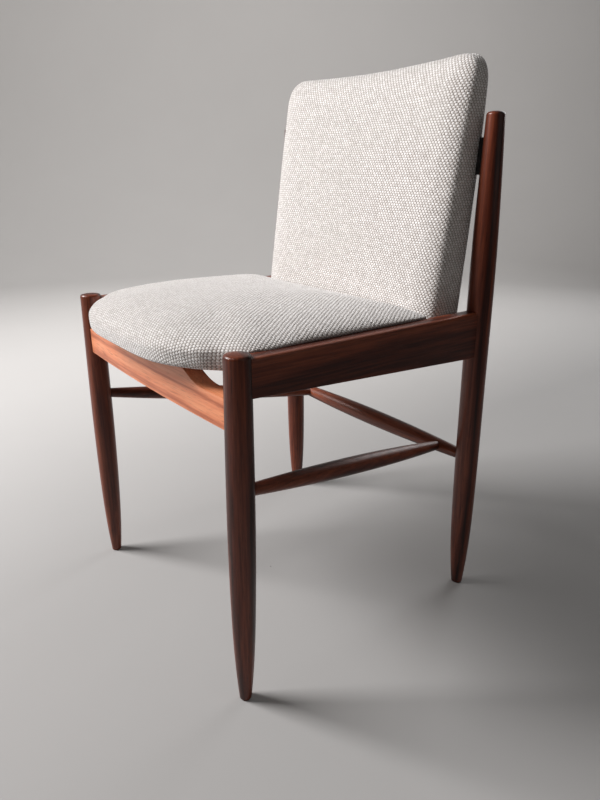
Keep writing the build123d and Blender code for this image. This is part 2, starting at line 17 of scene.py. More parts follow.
import bpy
import numpy as np
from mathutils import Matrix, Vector

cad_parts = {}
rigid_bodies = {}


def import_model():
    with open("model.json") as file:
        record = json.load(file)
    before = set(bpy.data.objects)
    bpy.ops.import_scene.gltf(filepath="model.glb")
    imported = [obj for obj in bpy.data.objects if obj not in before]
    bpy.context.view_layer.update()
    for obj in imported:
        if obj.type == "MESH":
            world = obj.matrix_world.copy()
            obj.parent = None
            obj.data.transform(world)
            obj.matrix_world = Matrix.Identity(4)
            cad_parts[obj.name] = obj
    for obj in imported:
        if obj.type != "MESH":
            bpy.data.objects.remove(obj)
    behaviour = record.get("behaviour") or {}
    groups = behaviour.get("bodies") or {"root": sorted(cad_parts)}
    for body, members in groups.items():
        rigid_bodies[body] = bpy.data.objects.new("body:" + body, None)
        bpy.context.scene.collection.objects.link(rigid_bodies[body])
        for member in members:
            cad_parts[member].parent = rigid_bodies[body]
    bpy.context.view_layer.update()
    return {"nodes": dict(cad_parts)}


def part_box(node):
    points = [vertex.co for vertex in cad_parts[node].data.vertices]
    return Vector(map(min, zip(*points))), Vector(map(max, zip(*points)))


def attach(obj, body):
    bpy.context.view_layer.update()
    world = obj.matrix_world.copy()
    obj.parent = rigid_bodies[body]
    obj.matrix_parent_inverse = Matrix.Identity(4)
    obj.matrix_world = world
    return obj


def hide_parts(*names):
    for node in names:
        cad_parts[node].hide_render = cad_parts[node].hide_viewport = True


for leftover in list(bpy.data.objects):
    bpy.data.objects.remove(leftover)
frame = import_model()
nodes = frame["nodes"]
MM = 0.001

# %% [markdown]
# ## The camera and the light
#
# The camera stands in front of the chair, to the sitter's left, at the height of a seated
# person's shoulder, and looks down a little.  One large soft light stands in front, to the
# sitter's right, like a window.  It picks out all that faces forwards, so the sides that face
# away fall into shade and the turned members look round.  A faint light keeps that shade from
# going black, a second one shows the rear of the chair, and the last one lights the wall.

# %% Camera
camera_data = bpy.data.cameras.new("camera")
camera_data.lens = 28.20
camera_data.sensor_width = 36.0
camera_data.clip_end = 50.0
camera = bpy.data.objects.new("camera", camera_data)
camera.location = (0.7605, -0.5180, 0.6419)
camera.rotation_euler = (math.radians(69.92), 0.0, math.radians(52.6))
bpy.context.scene.collection.objects.link(camera)
bpy.context.scene.camera = camera
print("camera at", tuple(round(c, 3) for c in camera.location), "lens", camera_data.lens)


# %% Lights
def soft_light(name, place, aim, size, power, colour):
    """A square area light at a place, turned to face a point, unseen by the camera itself."""
    data = bpy.data.lights.new(name, "AREA")
    data.size = size
    data.energy = power
    data.color = colour
    light = bpy.data.objects.new(name, data)
    light.location = place
    light.rotation_euler = (Vector(aim) - Vector(place)).to_track_quat("-Z", "Y").to_euler()
    light.visible_camera = False
    bpy.context.scene.collection.objects.link(light)
    return light


chair_middle = (0.0, 0.0, 0.42)
soft_light("window_light", (-1.5, -1.65, 2.1), chair_middle, 1.1, 131.0, (1.0, 0.985, 0.985))
soft_light("fill_light", (2.0, 0.5, 1.3), chair_middle, 1.8, 2.6, (1.0, 0.95, 0.92))
soft_light("rear_light", (-0.5, 2.7, 1.7), chair_middle, 1.5, 24.0, (0.98, 0.985, 1.0))
soft_light("wall_light", (-0.9, 1.0, 2.2), (-3.9, 1.0, 1.3), 1.2, 105.0, (1.0, 0.975, 0.96))

world = bpy.data.worlds.new("studio_air")
bpy.context.scene.world = world
world.use_nodes = True
world.node_tree.nodes["Background"].inputs["Color"].default_value = (0.80, 0.79, 0.77, 1.0)
world.node_tree.nodes["Background"].inputs["Strength"].default_value = 0.14
bpy.context.scene.view_settings.view_transform = "Standard"
bpy.context.scene.view_settings.look = "None"

# %% [markdown]
# ## Two small helpers
#
# Every new piece is a numpy array of points and an array of faces, and every finish is a short
# chain of shader nodes.  One helper turns arrays into a mesh with its cloth coordinates, and
# the other makes a shader node and fills its sockets in one call.

# %% Mesh helper
def mesh_object(name, points, faces, cloth=None):
    """A smooth-shaded mesh from points in millimetres and faces.

    cloth, if given, holds one (u, v) in metres for each corner of each face in turn."""
    mesh = bpy.data.meshes.new(name)
    mesh.from_pydata((np.asarray(points) * MM).tolist(), [], np.asarray(faces).tolist())
    if cloth is not None:
        layer = mesh.uv_layers.new(name="cloth")
        layer.data.foreach_set("uv", (np.asarray(cloth) * MM).ravel())
    mesh.shade_smooth()
    mesh.validate()
    piece = bpy.data.objects.new(name, mesh)
    bpy.context.scene.collection.objects.link(piece)
    return piece


# %% Shader helpers
def new_material(name):
    """An empty node material with its Principled shader; returns the material, tree and shader."""
    material = bpy.data.materials.new(name)
    material.use_nodes = True
    tree = material.node_tree
    return material, tree, tree.nodes["Principled BSDF"]


def node(tree, kind, inputs=(), **settings):
    """A shader node.  inputs pairs a socket with a value or with another node's output."""
    made = tree.nodes.new(kind)
    for key, value in settings.items():
        setattr(made, key, value)
    for socket, value in dict(inputs).items():
        if isinstance(value, bpy.types.NodeSocket):
            tree.links.new(value, made.inputs[socket])
        else:
            made.inputs[socket].default_value = value
    return made


def maths(tree, operation, *values):
    """The output of a Math node."""
    return node(tree, "ShaderNodeMath", dict(enumerate(values)), operation=operation).outputs[0]


def ramp(tree, factor, stops):
    """The colour output of a Color Ramp with (place, colour) stops."""
    made = node(tree, "ShaderNodeValToRGB", {"Fac": factor})
    elements = made.color_ramp.elements
    while len(elements) < len(stops):
        elements.new(0.5)
    for element, (place, colour) in zip(elements, stops):
        element.position = place
        element.color = (*colour, 1.0)
    return made.outputs["Color"]


def mixed(tree, factor, first, second, blend="MIX"):
    """The colour output of a Mix node."""
    made = node(tree, "ShaderNodeMix", {"Factor": factor}, data_type="RGBA", blend_type=blend)
    for socket, value in ((6, first), (7, second)):
        if isinstance(value, bpy.types.NodeSocket):
            tree.links.new(value, made.inputs[socket])
        else:
            made.inputs[socket].default_value = (*value, 1.0)
    return made.outputs[2]


def bumped(tree, shader, height, distance, strength=1.0):
    """Raises the surface's shading by a height."""
    bump = node(tree, "ShaderNodeBump", {"Height": height, "Distance": distance,
                                         "Strength": strength})
    tree.links.new(bump.outputs["Normal"], shader.inputs["Normal"])


# %% [markdown]
# ## Oiled teak
#
# Teak is red-brown, with darker growth rings that run the length of each member and fine open
# pores that show as short dark hairlines.  A flat sheet of grain would stretch over a turned
# leg, so the wood is solid instead: the rings are nested tubes about a pith that lies outside
# the member, and every surface simply cuts through them.  The same rule gives long streaks on
# a leg's side and tight arcs on its end.  The members run along different axes, so the finish
# is made once for each.  The front rail's copy is paler, a painted highlight for the window
# light and glare on it, and the uprights' copy is darker, painted shade.

# %% Teak
def sawn_coordinates(tree, along):
    """Object coordinates, with the axis that the wood runs along moved to the third place."""
    place = node(tree, "ShaderNodeTexCoord").outputs["Object"]
    split = node(tree, "ShaderNodeSeparateXYZ", {"Vector": place}).outputs
    order = {"X": (1, 2, 0), "Y": (2, 0, 1), "Z": (0, 1, 2)}[along]
    return [split[axis] for axis in order]


def wood(name, along, tones, pith, ring=0.0042, roughness=0.36, pore_strength=0.5):
    """Solid wood: rings about a pith, stretched wander, and pores drawn out lengthways.

    The ring pattern is the sine of (distance from the pith / ring width + slow wander)."""
    material, tree, shader = new_material(name)
    a, b, c = sawn_coordinates(tree, along)
    drawn = node(tree, "ShaderNodeCombineXYZ", {0: a, 1: b, 2: maths(tree, "MULTIPLY", c, 0.10)})
    wander = node(tree, "ShaderNodeTexNoise", {"Vector": drawn.outputs[0], "Scale": 22.0,
                                               "Detail": 3.0}).outputs["Fac"]
    from_pith = node(tree, "ShaderNodeCombineXYZ", {0: maths(tree, "SUBTRACT", a, pith[0]),
                                                    1: maths(tree, "SUBTRACT", b, pith[1])})
    distance = node(tree, "ShaderNodeVectorMath", {0: from_pith.outputs[0]},
                    operation="LENGTH").outputs["Value"]
    turns = maths(tree, "MULTIPLY_ADD", distance, 1.0 / ring, maths(tree, "MULTIPLY", wander, 9.0))
    wave = maths(tree, "MULTIPLY_ADD", maths(tree, "SINE", turns), 0.5, 0.5)
    late_wood = maths(tree, "POWER", wave, 2.2)
    pore_place = node(tree, "ShaderNodeCombineXYZ", {0: a, 1: b,
                                                     2: maths(tree, "MULTIPLY", c, 0.035)})
    pores = node(tree, "ShaderNodeTexNoise", {"Vector": pore_place.outputs[0], "Scale": 1100.0,
                                              "Detail": 2.0}).outputs["Fac"]
    fibres = node(tree, "ShaderNodeTexNoise", {"Vector": pore_place.outputs[0], "Scale": 330.0,
                                               "Detail": 4.0}).outputs["Fac"]
    figure = maths(tree, "ADD", maths(tree, "MULTIPLY", late_wood, 0.42),
                   maths(tree, "MULTIPLY", fibres, 0.75))
    colour = ramp(tree, figure, [(0.25, tones[0]), (0.52, tones[1]), (0.85, tones[2])])
    pore_lines = maths(tree, "SMOOTH_MIN", 1.0, maths(tree, "MULTIPLY", maths(
        tree, "MAXIMUM", maths(tree, "SUBTRACT", pores, 0.58), 0.0), 9.0), 0.05)
    colour = mixed(tree, maths(tree, "MULTIPLY", pore_lines, pore_strength), colour, tones[3])
    slow = node(tree, "ShaderNodeTexNoise", {"Vector": drawn.outputs[0],
                                             "Scale": 7.0}).outputs["Fac"]
    colour = mixed(tree, maths(tree, "MULTIPLY", slow, 0.35), colour, tones[2], "MULTIPLY")
    tree.links.new(colour, shader.inputs["Base Color"])
    tree.links.new(maths(tree, "MULTIPLY_ADD", fibres, 0.22, roughness - 0.11),
                   shader.inputs["Roughness"])
    shader.inputs["Specular IOR Level"].default_value = 0.38
    bumped(tree, shader, maths(tree, "SUBTRACT", maths(tree, "MULTIPLY", fibres, 0.5), pore_lines),
           0.00012, 0.6)
    return material


teak_tones = ((0.30, 0.078, 0.034), (0.165, 0.036, 0.016), (0.052, 0.010, 0.005),
              (0.016, 0.004, 0.003))
# The uprights' tones are darker than the other teak: painted shade, deepening the faces of the
# legs and posts that turn away from the window.
painted_shade_teak_tones = ((0.25, 0.058, 0.024), (0.115, 0.023, 0.010), (0.030, 0.006, 0.003),
                   (0.010, 0.003, 0.002))
# The front rail's tones are paler than the other teak: painted highlight and glare, standing in
# for the window light on that rail.
painted_highlight_teak_tones = ((0.90, 0.38, 0.19), (0.78, 0.28, 0.13), (0.48, 0.14, 0.060),
                   (0.18, 0.055, 0.024))
beech_tones = ((0.62, 0.45, 0.29), (0.55, 0.38, 0.23), (0.40, 0.26, 0.15), (0.26, 0.16, 0.09))
teak_painted_shade_up = wood("teak_upright", "Z", painted_shade_teak_tones, (0.13, -0.35), roughness=0.33)
teak_across = wood("teak_across", "X", teak_tones, (-0.02, 0.46))
teak_painted_highlight_front = wood("teak_front_rail", "X", painted_highlight_teak_tones, (-0.16, 0.62))
teak_back = wood("teak_fore_and_aft", "Y", teak_tones, (0.50, 0.02))
beech_across = wood("beech_across", "X", beech_tones, (0.1, 0.5), ring=0.003)
beech_back = wood("beech_fore_and_aft", "Y", beech_tones, (0.5, 0.1), ring=0.003)
print("woods:", [m.name for m in bpy.data.materials if m.name.startswith(("teak", "beech"))])

# %% [markdown]
# ## The small finishes
#
# The bar behind the back is flat steel in satin black paint, which shows a slight orange-peel
# ripple.  The screws are zinc plated and dull.  The board and the shell are birch plywood, whose
# thin layers show at the edges, and the cloth under the seat is black and felt-like.

# %% Paint, zinc, plywood and felt
def speckled(name, colours, scale, roughness, bump, metallic=0.0):
    """A finish whose colour and height both follow one fine noise."""
    material, tree, shader = new_material(name)
    place = node(tree, "ShaderNodeTexCoord").outputs["Object"]
    noise = node(tree, "ShaderNodeTexNoise", {"Vector": place, "Scale": scale,
                                              "Detail": 4.0}).outputs["Fac"]
    tree.links.new(ramp(tree, noise, [(0.3, colours[0]), (0.7, colours[1])]),
                   shader.inputs["Base Color"])
    tree.links.new(maths(tree, "MULTIPLY_ADD", noise, 0.2, roughness - 0.1),
                   shader.inputs["Roughness"])
    shader.inputs["Metallic"].default_value = metallic
    bumped(tree, shader, noise, bump, 0.5)
    return material


def layered(name, colours, layer=0.0024):
    """Plywood: flat layers of two tones, stacked upwards."""
    material, tree, shader = new_material(name)
    place = node(tree, "ShaderNodeTexCoord").outputs["Object"]
    height = node(tree, "ShaderNodeSeparateXYZ", {"Vector": place}).outputs[2]
    stripe = maths(tree, "PINGPONG", height, layer)
    tree.links.new(ramp(tree, maths(tree, "DIVIDE", stripe, layer),
                        [(0.45, colours[0]), (0.55, colours[1])]), shader.inputs["Base Color"])
    shader.inputs["Roughness"].default_value = 0.6
    return material


black_paint = speckled("black_paint", ((0.010, 0.010, 0.011), (0.022, 0.021, 0.021)), 1400.0,
                       0.38, 0.00005)
zinc = speckled("zinc_plate", ((0.42, 0.41, 0.39), (0.66, 0.64, 0.60)), 900.0, 0.36, 0.00003, 1.0)
felt = speckled("black_felt", ((0.012, 0.012, 0.013), (0.045, 0.044, 0.043)), 2600.0, 0.9, 0.0004)
plywood = layered("birch_plywood", ((0.62, 0.46, 0.30), (0.46, 0.31, 0.19)))
print("small finishes:", black_paint.name, zinc.name, felt.name, plywood.name)

# %% [markdown]
# ## The cloth
#
# The cover is a chunky off-white cloth.  Thick soft yarns float over the thin ones that cross
# them, so the face is rows of plump ovals, and each row starts a little further along than the
# row below, which gives the cloth its slanting lines.  The pattern is worked out from the
# cushion's own cloth coordinates, which are true lengths along the surface, so the weave keeps
# its size and turns over the edges with the cloth.

# %% Woven cloth
def woven_cloth(name, row, length, stagger):
    """Rows of floats.  With v counted in rows and u in floats, a float's height is
    sin(pi * its share across)  by  sin(pi * its share along), both flattened."""
    material, tree, shader = new_material(name)
    place = node(tree, "ShaderNodeUVMap", uv_map="cloth").outputs["UV"]
    drift = node(tree, "ShaderNodeTexNoise", {"Vector": place, "Scale": 60.0, "Detail": 2.0})
    uneven = node(tree, "ShaderNodeVectorMath", {0: drift.outputs["Color"], 1: (0.5, 0.5, 0.5)},
                  operation="SUBTRACT").outputs[0]
    shifted = node(tree, "ShaderNodeVectorMath", {0: uneven, 1: (row * 0.9,) * 3, 2: place},
                   operation="MULTIPLY_ADD").outputs[0]
    u, v = list(node(tree, "ShaderNodeSeparateXYZ", {"Vector": shifted}).outputs)[:2]
    rows = maths(tree, "DIVIDE", v, row)
    row_number = maths(tree, "FLOOR", rows)
    floats = maths(tree, "MULTIPLY_ADD", row_number, stagger, maths(tree, "DIVIDE", u, length))
    across = maths(tree, "SINE", maths(tree, "MULTIPLY", maths(tree, "FRACT", rows), math.pi))
    along = maths(tree, "SINE", maths(tree, "MULTIPLY", maths(tree, "FRACT", floats), math.pi))
    oval = maths(tree, "MULTIPLY", maths(tree, "POWER", along, 0.75),
                 maths(tree, "MULTIPLY_ADD", across, 0.6, 0.4))
    crossing = maths(tree, "MULTIPLY", maths(tree, "POWER", maths(tree, "SUBTRACT", 1.0, along),
                                             4.0), 0.28)
    height = maths(tree, "MAXIMUM", oval, crossing)
    fibre = node(tree, "ShaderNodeTexNoise", {"Vector": place, "Scale": 2400.0,
                                              "Detail": 3.0}).outputs["Fac"]
    whole = node(tree, "ShaderNodeCombineXYZ", {0: maths(tree, "FLOOR", floats), 1: row_number})
    each = node(tree, "ShaderNodeTexWhiteNoise", {"Vector": whole.outputs[0]},
                noise_dimensions="2D").outputs["Value"]
    yarn = mixed(tree, each, (0.76, 0.725, 0.70), (0.96, 0.935, 0.92))
    fluffy = maths(tree, "MULTIPLY_ADD", maths(tree, "SUBTRACT", fibre, 0.5), 0.5, height)
    # The cloth darkens where it lies low: partly the thinner, darker crossing yarn, and partly
    # painted shade in the gaps between the floats.
    shade = ramp(tree, fluffy, [(0.12, (0.15, 0.12, 0.10)), (0.40, (0.66, 0.61, 0.57)),
                                (0.66, (1.0, 1.0, 1.0))])
    tree.links.new(mixed(tree, 1.0, yarn, shade, "MULTIPLY"), shader.inputs["Base Color"])
    shader.inputs["Roughness"].default_value = 0.92
    shader.inputs["Sheen Weight"].default_value = 0.8
    shader.inputs["Sheen Roughness"].default_value = 0.5
    shader.inputs["Specular IOR Level"].default_value = 0.2
    bumped(tree, shader, fluffy, 0.0012, 0.8)
    return material


yarn_row, float_length, row_stagger = 0.0032, 0.0054, 0.42
cover_cloth = woven_cloth("woven_cover", yarn_row, float_length, row_stagger)
print("cloth rows every", yarn_row / MM, "mm, floats every", float_length / MM, "mm")

# %% Give the wooden and metal members their finish
finishes = {
    teak_painted_shade_up: ("front_leg_left", "front_leg_right", "rear_post_left", "rear_post_right"),
    teak_painted_highlight_front: ("front_rail",),
    teak_across: ("rear_rail", "rear_stretcher"),
    teak_back: ("side_rail_left", "side_rail_right", "side_stretcher_left",
                "side_stretcher_right"),
    beech_across: ("front_rail_dowels", "rear_rail_dowels"),
    beech_back: ("side_rail_dowels", "seat_cleat_left", "seat_cleat_right", "lower_spacers"),
    plywood: ("seat_board", "back_shell"),
    black_paint: ("back_mounting_bar",),
    zinc: ("cleat_screws", "seat_screws", "shell_screws", "bar_screws", "lower_back_screws"),
    felt: ("seat_lining",),
}
for finish, names in finishes.items():
    for name in names:
        nodes[name].data.materials.clear()
        nodes[name].data.materials.append(finish)
print("finished CAD nodes:", sum(len(names) for names in finishes.values()))

# %% [markdown]
# ## A sheet that closes round a cushion
#
# A cushion could start as a box or a sphere, but a box has hard corners and a sphere has a
# pinched pole in the middle of the seat.  Instead each cushion is two square sheets of cloth,
# one over and one under, joined at their rims.  A sheet's vertices lie on nested square rings:
# the first rings spread over the top, and the last ones run down the side.  How far out a ring
# is, and how far round the ring a vertex is, are the two numbers that every shape below is
# a function of.

# %% Rings of a sheet
def square_sheet(rings):
    """The ring and the fraction of the way round of each vertex of a square grid, and its faces.

    The ring is max(|i|, |j|).  The fraction starts at the middle of the near side and goes
    round through the right, far and left sides, an eighth of a turn to each corner."""
    steps = np.arange(-rings, rings + 1)
    i, j = np.meshgrid(steps, steps, indexing="ij")
    ring = np.maximum(abs(i), abs(j))
    safe = np.maximum(ring, 1)
    round_it = np.select([j == -ring, i == ring, j == ring],
                         [i / safe / 8, (2 + j / safe) / 8, (4 - i / safe) / 8],
                         (6 - j / safe) / 8) % 1
    number = np.arange(i.size).reshape(i.shape)
    faces = np.stack([number[:-1, :-1], number[1:, :-1], number[1:, 1:], number[:-1, 1:]],
                     axis=-1).reshape(-1, 4)
    return ring.ravel(), round_it.ravel(), faces


def closed_pad(name, rings, over, under):
    """One closed mesh from two sheets.  over and under each hold points and cloth coordinates."""
    ring, _, faces = square_sheet(rings)
    inner = ring < rings
    lower = np.where(inner, ring.size + np.cumsum(inner) - 1, np.arange(ring.size))
    turned = faces[:, ::-1]
    points = np.concatenate([over[0], under[0][inner]])
    cloth = np.concatenate([over[1][faces].reshape(-1, 2), under[1][turned].reshape(-1, 2)])
    return mesh_object(name, points, np.concatenate([faces, lower[turned]]), cloth)


# %% Soft outlines
def soft_outline(guide, steps=24):
    """A closed curve inside a guide polygon: at each corner a parabola that touches the middles
    of the two sides that meet there.  Returns its points and the length up to each."""
    corners = np.array(guide, float)
    middles = (corners + np.roll(corners, 1, axis=0)) / 2
    t = np.linspace(0, 1, steps, endpoint=False)[None, :, None]
    curve = (middles[:, None] * (1 - t) ** 2 + 2 * corners[:, None] * t * (1 - t)
             + np.roll(middles, -1, axis=0)[:, None] * t ** 2).reshape(-1, 2)
    curve = np.roll(curve, -(steps // 2), axis=0)
    curve = np.vstack([curve, curve[:1]])
    lengths = np.linalg.norm(np.diff(curve, axis=0), axis=1)
    return curve, np.concatenate([[0.0], np.cumsum(lengths)])


def on_outline(outline, fraction):
    """Points on an outline at fractions of its length, and its outward normals there."""
    curve, along = outline

    def at(share):
        place = (share % 1) * along[-1]
        return np.stack([np.interp(place, along, curve[:, axis]) for axis in (0, 1)], axis=-1)

    points = at(fraction)
    tangent = at(fraction + 0.004) - at(fraction - 0.004)
    tangent /= np.linalg.norm(tangent, axis=-1, keepdims=True)
    return points, np.stack([tangent[..., 1], -tangent[..., 0]], axis=-1)


def mirrored(half):
    """A guide polygon from its right half, which starts and ends on the middle line."""
    return half + [(-x, y) for x, y in half[-2:0:-1]]


# %% Cloth coordinates
def unrolled(surface, ring, round_it, rings, outline):
    """Cloth coordinates of a sheet: the place seen square on, moved outwards by the length
    that the cloth has travelled beyond the flat distance from the centre."""
    table_ring = np.arange(rings + 1)[:, None]
    table_round = np.linspace(0, 1, 257)[None, :]
    table_ring, table_round = np.broadcast_arrays(table_ring, table_round)
    points, flat = surface(table_ring, table_round)
    steps = np.linalg.norm(np.diff(points, axis=0), axis=-1)
    flat_steps = np.linalg.norm(np.diff(flat, axis=0), axis=-1)
    extra = np.vstack([np.zeros((1, 257)), np.cumsum(steps - flat_steps, axis=0)])
    column = round_it * 256
    left = np.floor(column).astype(int) % 256
    share = column - np.floor(column)
    travelled = extra[ring, left] * (1 - share) + extra[ring, left + 1] * share
    _, normal = on_outline(outline, round_it)
    return surface(ring, round_it)[1] + normal * travelled[:, None]


# %% [markdown]
# ## Filling the cushions
#
# A worked-out surface is too perfect to be upholstery.  A short cloth simulation pumps the
# cover up from inside, so it pulls tight, evens out its curves and dimples slightly at the
# corners, as cloth stretched over foam does.  What is stapled down is pinned, and no point may
# travel further than the cloth could stretch.

# %% Pump up a cover
def pumped(piece, pinned, travel, frames=16, pressure=5.0, evening=24):
    """Runs Blender's cloth on a closed cover with air pressure inside and no gravity, and keeps
    the result.  Each point's move is averaged with its neighbours' a few times over, and then
    a move of d becomes travel * tanh(d / travel), so none is longer than travel."""
    mesh = piece.data
    start = np.zeros(len(mesh.vertices) * 3)
    mesh.vertices.foreach_get("co", start)
    start = start.reshape(-1, 3)
    group = piece.vertex_groups.new(name="pinned")
    group.add(np.flatnonzero(pinned).tolist(), 1.0, "REPLACE")
    cloth = piece.modifiers.new("cloth", "CLOTH")
    cloth.settings.vertex_group_mass = "pinned"
    cloth.settings.use_pressure = True
    cloth.settings.uniform_pressure_force = pressure
    cloth.settings.tension_stiffness = 6.0
    cloth.settings.compression_stiffness = 6.0
    cloth.settings.bending_stiffness = 2.0
    cloth.settings.effector_weights.gravity = 0.0
    for number in range(1, frames + 1):
        bpy.context.scene.frame_set(number)
    result = piece.evaluated_get(bpy.context.evaluated_depsgraph_get()).to_mesh()
    end = np.zeros(len(result.vertices) * 3)
    result.vertices.foreach_get("co", end)
    ends = np.array([edge.vertices for edge in mesh.edges])
    beside = np.bincount(ends.ravel(), minlength=len(start))[:, None]
    move = end.reshape(-1, 3) - start
    for _ in range(evening):
        total = np.zeros_like(move)
        np.add.at(total, ends[:, 0], move[ends[:, 1]])
        np.add.at(total, ends[:, 1], move[ends[:, 0]])
        move = (move + total / beside) / 2
    piece.modifiers.remove(cloth)
    bpy.context.scene.frame_set(1)
    length = np.linalg.norm(move, axis=1, keepdims=True)
    limit = travel * MM
    capped = start + move / np.maximum(length, 1e-9) * limit * np.tanh(length / limit)
    mesh.vertices.foreach_set("co", capped.ravel())
    mesh.update()
    piece.vertex_groups.clear()
    print(piece.name, "moved up to", round(float(length.max()) / MM, 1), "mm, kept within", travel)


def smoothed(piece, levels=1):
    """Subdivides a finished cover, the same on screen and in the render."""
    refine = piece.modifiers.new("refine", "SUBSURF")
    refine.levels = levels
    refine.render_levels = levels


def eased(value, start, end):
    """0 before start, 1 after end, and an S-shaped rise between them."""
    share = np.clip((value - start) / (end - start), 0, 1)
    return share * share * (3 - 2 * share)


# %% [markdown]
# ## The seat
#
# The seat is a low dome.  From above it has a bowed front whose corners run in behind the legs,
# straight sides that swell a little over the rails, and a shallow curve behind that meets the
# back.  The dome is full and round in front, flatter over the middle and falls away behind.  Its
# lower rings run down the side, squeeze in between the rails, and turn under the board.

# %% Seat surface
seat_outline = soft_outline(mirrored([
    (0.0, -235.6), (72.0, -235.8), (116.0, -228.0), (160.5, -204.5), (178.0, -186.0),
    (207.0, -168.0), (210.8, -138.0), (211.0, 0.0), (211.0, 101.0), (207.0, 126.0),
    (178.0, 131.5), (90.0, 137.5), (0.0, 139.5)]))
seat_centre = np.array([0.0, -70.0])
seat_top_rings = 40
seat_side_rings = 12
seat_rings = seat_top_rings + seat_side_rings
seat_crown = 487.5
seat_base = 432.3
rail_top = 456.0
well_half_width = 204.8
seat_edge = (446.6, 457.2, 459.0)     # height of the widest place: front, sides, rear
seat_fullness = (2.4, 2.55, 1.95)     # a larger number keeps the dome full further out
seat_roundness = (1.96, 1.57, 0.8)    # and a larger one makes its edge rounder
seat_tuck = (4.0, 6.0, 9.0)           # how far it turns in below


def by_side(direction, values):
    """Values for front, sides and rear, mixed by the squares of a direction's parts."""
    front = np.clip(-direction[..., 1], 0, 1) ** 2
    rear = np.clip(direction[..., 1], 0, 1) ** 2
    return front * values[0] + direction[..., 0] ** 2 * values[1] + rear * values[2]


def seat_over(ring, round_it):
    """The seat's upper sheet, as points, and as places seen from above.

    On the dome, with s the share of the way to the outline, the height above the edge is
    rise * (1 - s^fullness)^(1 / roundness).  Below the edge it is a quarter of an ellipse."""
    edge_place, normal = on_outline(seat_outline, round_it)
    reach = edge_place - seat_centre
    direction = reach / np.linalg.norm(reach, axis=-1, keepdims=True)
    share = 1 - (1 - np.clip(ring / seat_top_rings, 0, 1)) ** 1.5
    edge_height = by_side(direction, seat_edge)
    dome = (1 - share ** by_side(direction, seat_fullness)) ** (
        1 / by_side(direction, seat_roundness))
    turn = np.clip((ring - seat_top_rings) / seat_side_rings, 0, 1) * math.pi / 2
    height = (edge_height + (seat_crown - edge_height) * dome
              - (edge_height - seat_base) * np.sin(turn))
    inset = by_side(direction, seat_tuck) * (1 - np.cos(turn))
    place = seat_centre + share[..., None] * reach - inset[..., None] * normal
    in_well = (height < rail_top) & (place[..., 1] > -170)
    across = np.where(in_well, np.clip(place[..., 0], -well_half_width, well_half_width),
                      place[..., 0])
    flat = seat_centre + share[..., None] * reach
    return np.stack([across, place[..., 1], height], axis=-1), flat


lining_low, lining_high = (np.array(corner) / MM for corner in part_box("seat_lining"))
lining_recess = 1.4


def seat_under(ring, rim):
    """The seat's lower sheet: flat, with a shallow recess where the lining lies."""
    place = seat_centre + (ring / seat_rings)[:, None] * (rim - seat_centre)
    middle = (lining_low + lining_high)[:2] / 2
    half = (lining_high - lining_low)[:2] / 2
    outside = (abs(place - middle) - half).max(axis=1)
    height = seat_base + lining_recess * (1 - eased(outside, -1.0, 3.0))
    return np.column_stack([place, height])


seat_ring, seat_round, _ = square_sheet(seat_rings)
seat_points, _ = seat_over(seat_ring, seat_round)
seat_cloth = unrolled(seat_over, seat_ring, seat_round, seat_rings, seat_outline)
rim_points, _ = seat_over(np.full(seat_round.shape, seat_rings), seat_round)
under_points = seat_under(seat_ring, rim_points[:, :2])
seat = closed_pad("seat_cushion", seat_rings, (seat_points, seat_cloth),
                  (under_points, under_points[:, :2]))
print("seat:", len(seat.data.vertices), "vertices")

# %% Fill the seat
seat_co = np.array([v.co for v in seat.data.vertices]) / MM
between_rails = (seat_co[:, 2] < rail_top) & (seat_co[:, 1] > -175)
stapled = seat_co[:, 2] < seat_base + 4
pumped(seat, between_rails | stapled, travel=1.5)
seat.data.materials.append(cover_cloth)
smoothed(seat)
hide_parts("seat_cover", "seat_foam")
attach(seat, "root")

# %% [markdown]
# ## The back
#
# The back is a moulded plywood shell padded on both faces.  Seen from in front it is a tall
# rounded rectangle.  It leans backwards, thins towards the top, and is hollowed across its width
# to fit the sitter, because every layer is an arc about one upright axis far in front of the
# chair.  So the sheet is worked out flat, with x across and z up, and each point is then pushed
# back by the depth of its layer.

# %% Back surface
back_half_width = 199.5
back_bottom = 418.5
back_top = 780.5
back_axis = -1422.0
back_levels = (400.0, 560.0, 700.0, 800.0)
front_curve = np.polyfit(back_levels, (136.0, 158.2, 177.6, 191.5), 3)
rear_curve = np.polyfit(back_levels, (204.5, 219.0, 229.1, 231.0), 3)
top_corner, bottom_corner = 38.0, 24.0
ear = 6.0     # the cloth is gathered at the top corners, which stand up by this much
back_outline = soft_outline(mirrored([
    (0.0, back_bottom), (back_half_width - 2 * bottom_corner, back_bottom),
    (back_half_width, back_bottom), (back_half_width, back_bottom + 2 * bottom_corner),
    (back_half_width, back_top - 2 * top_corner), (back_half_width, back_top + ear),
    (back_half_width - 2 * top_corner, back_top + ear / 2), (0.0, back_top)]))
back_centre = np.array([0.0, 598.0])
back_top_rings = 40
back_side_rings = 14
back_rings = back_top_rings + back_side_rings
front_roll = 22.5
rear_roll = 9.0
pillow = 3.0
roll_fullness = (10.5, 7.5)     # along the edges, and softer at the corners
straight_share = 0.55           # the share of the side's rings that lies before the rear roll


def on_arc(across, middle):
    """The depth of a curved layer at a distance across, from its depth at the middle."""
    return back_axis + np.sqrt((middle - back_axis) ** 2 - across ** 2)


